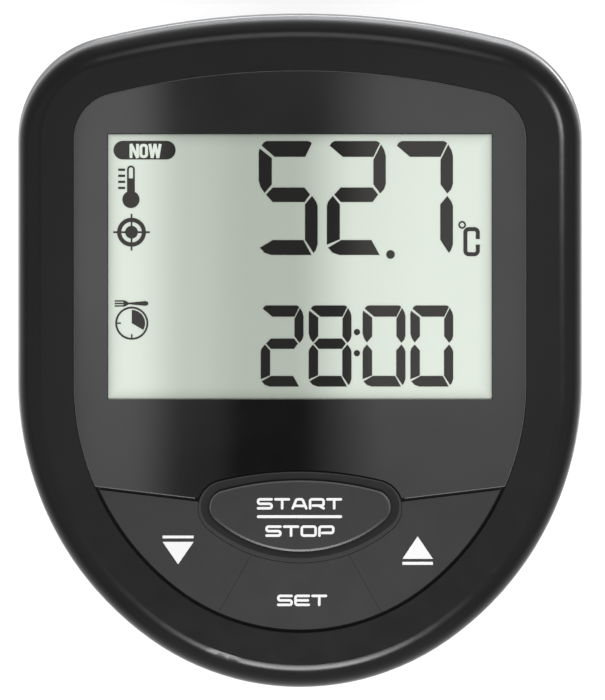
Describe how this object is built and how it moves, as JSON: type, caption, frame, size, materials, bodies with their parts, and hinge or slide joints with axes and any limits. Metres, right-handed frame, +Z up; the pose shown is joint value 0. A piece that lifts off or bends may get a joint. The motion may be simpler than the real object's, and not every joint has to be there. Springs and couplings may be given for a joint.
{
  "type": "sous vide circulator",
  "caption": "Sous vide circulator with a wide tilted control head, display and pressing keys, a steel heating column with a pump, and a screw clamp for a pot's wall.",
  "frame": {"origin": "centre of the flat foot under the immersion column", "axes": "+Z up along the column, -Y towards the user whom the tilted face looks at, +X to the user's right"},
  "size_m": [0.1144, 0.1752, 0.3513],
  "materials": {
    "bezel_black": "satin",
    "clear_lens": "gloss",
    "mask_black": "gloss",
    "lcd": "satin",
    "white_plastic": "satin",
    "board_green": "gloss",
    "key_grey": "matte",
    "well_grey": "satin",
    "switch_black": "matte",
    "silver": "satin",
    "neck_black": "satin",
    "steel": "brushed",
    "heater_steel": "satin",
    "seal_rubber": "matte",
    "facing_rubber": "matte",
    "brass": "satin",
    "copper_winding": "satin",
    "core_steel": "matte",
    "relay_blue": "gloss",
    "aluminium": "satin",
    "capacitor_sleeve": "gloss",
    "cable_grey": "matte",
    "motor_steel": "satin",
    "pump_plastic": "matte"
  },
  "bodies": {
    "body": {"front_bezel": "bezel_black", "display_lens": "clear_lens", "lens_mask": "mask_black", "lcd_glass": "lcd", "backlight_panel": "white_plastic", "display_holder": "white_plastic", "key_well": "well_grey", "display_board": "board_green", "tact_switches": "switch_black", "buzzer": "switch_black", "trim_ring": "silver", "face_gasket": "seal_rubber", "head_shell": "silver", "head_screws": "steel", "mains_inlet": "neck_black", "inlet_pins": "brass", "power_board": "board_green", "transformer_core": "core_steel", "transformer_winding": "copper_winding", "power_relay": "relay_blue", "heat_sink": "aluminium", "triac": "switch_black", "capacitors": "capacitor_sleeve", "ribbon_cable": "cable_grey", "neck": "neck_black", "sleeve_seal": "seal_rubber", "column_flange": "heater_steel", "heater_coil": "heater_steel", "heater_terminals": "brass", "temperature_probe": "heater_steel", "level_rods": "heater_steel", "tie_rods": "heater_steel", "shaft_tube": "heater_steel", "shaft_bushes": "brass", "shaft_seal": "seal_rubber", "foot_base": "pump_plastic", "pump_housing": "pump_plastic", "pump_cover": "pump_plastic", "motor_mount": "aluminium", "motor_can": "motor_steel", "motor_end_cap": "switch_black", "clamp_bracket": "neck_black", "clamp_facing": "facing_rubber", "bracket_screws": "steel"},
    "start_button": {"start_stop_key": "key_grey"},
    "down_button": {"down_key": "key_grey"},
    "up_button": {"up_key": "key_grey"},
    "set_button": {"set_key": "key_grey"},
    "rotor": {"motor_rotor": "motor_steel", "shaft_coupling": "aluminium", "pump_shaft": "heater_steel", "impeller": "white_plastic", "cooling_fan": "switch_black"},
    "skirt": {"sleeve": "steel", "sleeve_collar": "neck_black"},
    "jaw": {"clamp_pad": "neck_black", "pad_facing": "facing_rubber"},
    "screw": {"clamp_screw": "steel", "clamp_knob": "neck_black"}
  },
  "joints": [
    {"name": "start_press", "type": "slide", "parent": "body", "child": "start_button", "axis": [0, 0.2588, -0.9659], "range_m": [0, 0.0008], "stiffness_N_per_m": 900, "springref_m": -0.0002},
    {"name": "down_press", "type": "slide", "parent": "body", "child": "down_button", "axis": [0, 0.2588, -0.9659], "range_m": [0, 0.0008], "stiffness_N_per_m": 900, "springref_m": -0.0002},
    {"name": "up_press", "type": "slide", "parent": "body", "child": "up_button", "axis": [0, 0.2588, -0.9659], "range_m": [0, 0.0008], "stiffness_N_per_m": 900, "springref_m": -0.0002},
    {"name": "set_press", "type": "slide", "parent": "body", "child": "set_button", "axis": [0, 0.2588, -0.9659], "range_m": [0, 0.0008], "stiffness_N_per_m": 900, "springref_m": -0.0002},
    {"name": "motor_spin", "type": "hinge", "parent": "body", "child": "rotor", "pos_m": [0, 0, 0.24], "axis": [0, 0, 1], "continuous": true},
    {"name": "sleeve_pull", "type": "slide", "parent": "body", "child": "skirt", "axis": [0, 0, -1], "range_m": [0, 0.195]},
    {"name": "jaw_slide", "type": "slide", "parent": "body", "child": "jaw", "axis": [0, -1, 0], "range_m": [-0.0094, 0.0094]},
    {"name": "screw_turn", "type": "hinge", "parent": "jaw", "child": "screw", "pos_m": [0, 0.07, 0.213], "axis": [0, -1, 0], "range_deg": [-1692, 1692]}
  ],
  "couplings": [
    {"joint": "screw_turn", "follows": "jaw_slide", "rad_per_m": 3141.6}
  ]
}
